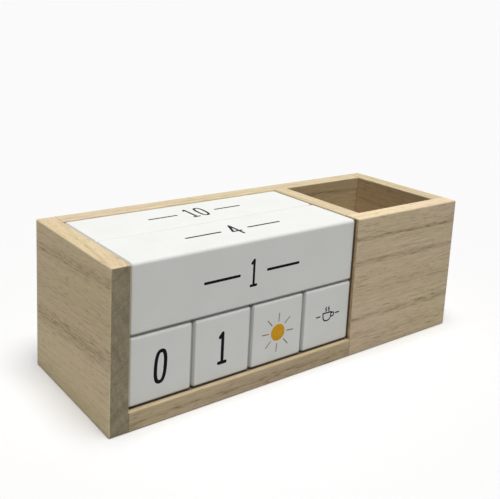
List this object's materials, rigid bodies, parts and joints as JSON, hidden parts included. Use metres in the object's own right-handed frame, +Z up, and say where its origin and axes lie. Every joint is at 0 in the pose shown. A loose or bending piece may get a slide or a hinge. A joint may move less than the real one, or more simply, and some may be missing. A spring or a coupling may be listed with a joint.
{
  "type": "desk calendar with pen well",
  "caption": "Pale wooden desk case with a perpetual calendar of loose painted month bars and day cubes in an open-fronted bay, beside a deep open well for pens.",
  "frame": {"origin": "middle of the underside of the case", "axes": "+X along the case towards the pen well, -Y towards the front that the day cubes face, +Z up"},
  "size_m": [0.26, 0.091, 0.0888],
  "materials": {
    "wood": "bare sanded pale wood",
    "white_paint": "satin white paint on wood",
    "black_print": "printed",
    "sun_print": "printed"
  },
  "bodies": {
    "case": {"left_side": "wood", "back_board": "wood", "right_side": "wood", "pen_front_panel": "wood", "divider": "wood", "bay_floor": "wood", "pen_floor": "wood"},
    "tens_cube": {"tens_cube": "white_paint"},
    "units_cube": {"units_cube": "white_paint"},
    "weather_cube": {"weather_cube": "white_paint"},
    "activity_cube": {"activity_cube": "white_paint"},
    "month_bar_front": {"month_bar_front": "white_paint"},
    "month_bar_lower": {"month_bar_lower": "white_paint"},
    "month_bar_rear": {"month_bar_rear": "white_paint"}
  },
  "joints": [
    {"name": "tens_cube_slide", "type": "slide", "parent": "case", "child": "tens_cube", "axis": [0, -1, 0], "range_m": [0, 0.045]},
    {"name": "units_cube_slide", "type": "slide", "parent": "case", "child": "units_cube", "axis": [0, -1, 0], "range_m": [0, 0.045]},
    {"name": "weather_cube_slide", "type": "slide", "parent": "case", "child": "weather_cube", "axis": [0, -1, 0], "range_m": [0, 0.045]},
    {"name": "activity_cube_slide", "type": "slide", "parent": "case", "child": "activity_cube", "axis": [0, -1, 0], "range_m": [0, 0.045]},
    {"name": "month_bar_front_lift", "type": "slide", "parent": "case", "child": "month_bar_front", "axis": [0, 0, 1], "range_m": [0, 0.045]},
    {"name": "month_bar_lower_lift", "type": "slide", "parent": "case", "child": "month_bar_lower", "axis": [0, 0, 1], "range_m": [0, 0.085]},
    {"name": "month_bar_rear_lift", "type": "slide", "parent": "month_bar_lower", "child": "month_bar_rear", "axis": [0, 0, 1], "range_m": [0, 0.045]}
  ]
}
